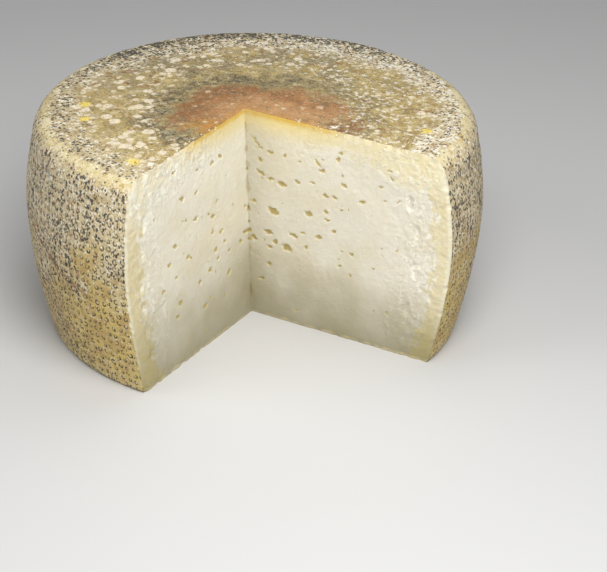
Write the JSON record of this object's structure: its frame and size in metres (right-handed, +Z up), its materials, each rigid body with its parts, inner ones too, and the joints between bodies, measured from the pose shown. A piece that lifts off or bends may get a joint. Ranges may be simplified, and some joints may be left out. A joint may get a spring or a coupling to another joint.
{
  "type": "cheese wheel",
  "caption": "Pressed wheel of hard cheese with a mouldy rind and a quarter cut out, showing its pale paste with small eyes.",
  "frame": {"origin": "middle of the wheel's flat base, on the axis of the full wheel", "axes": "+Z up along the wheel's axis; the missing quarter is between +X and -Y, one cut wall running along +X and the other along -Y"},
  "size_m": [0.2597, 0.2599, 0.1279],
  "materials": {
    "rind": "dry mottled ochre rind with grey mould",
    "paste": "ivory cut paste, slightly waxy, with small eyes"
  },
  "bodies": {
    "root": {"cheese_wheel": "rind"}
  },
  "joints": []
}
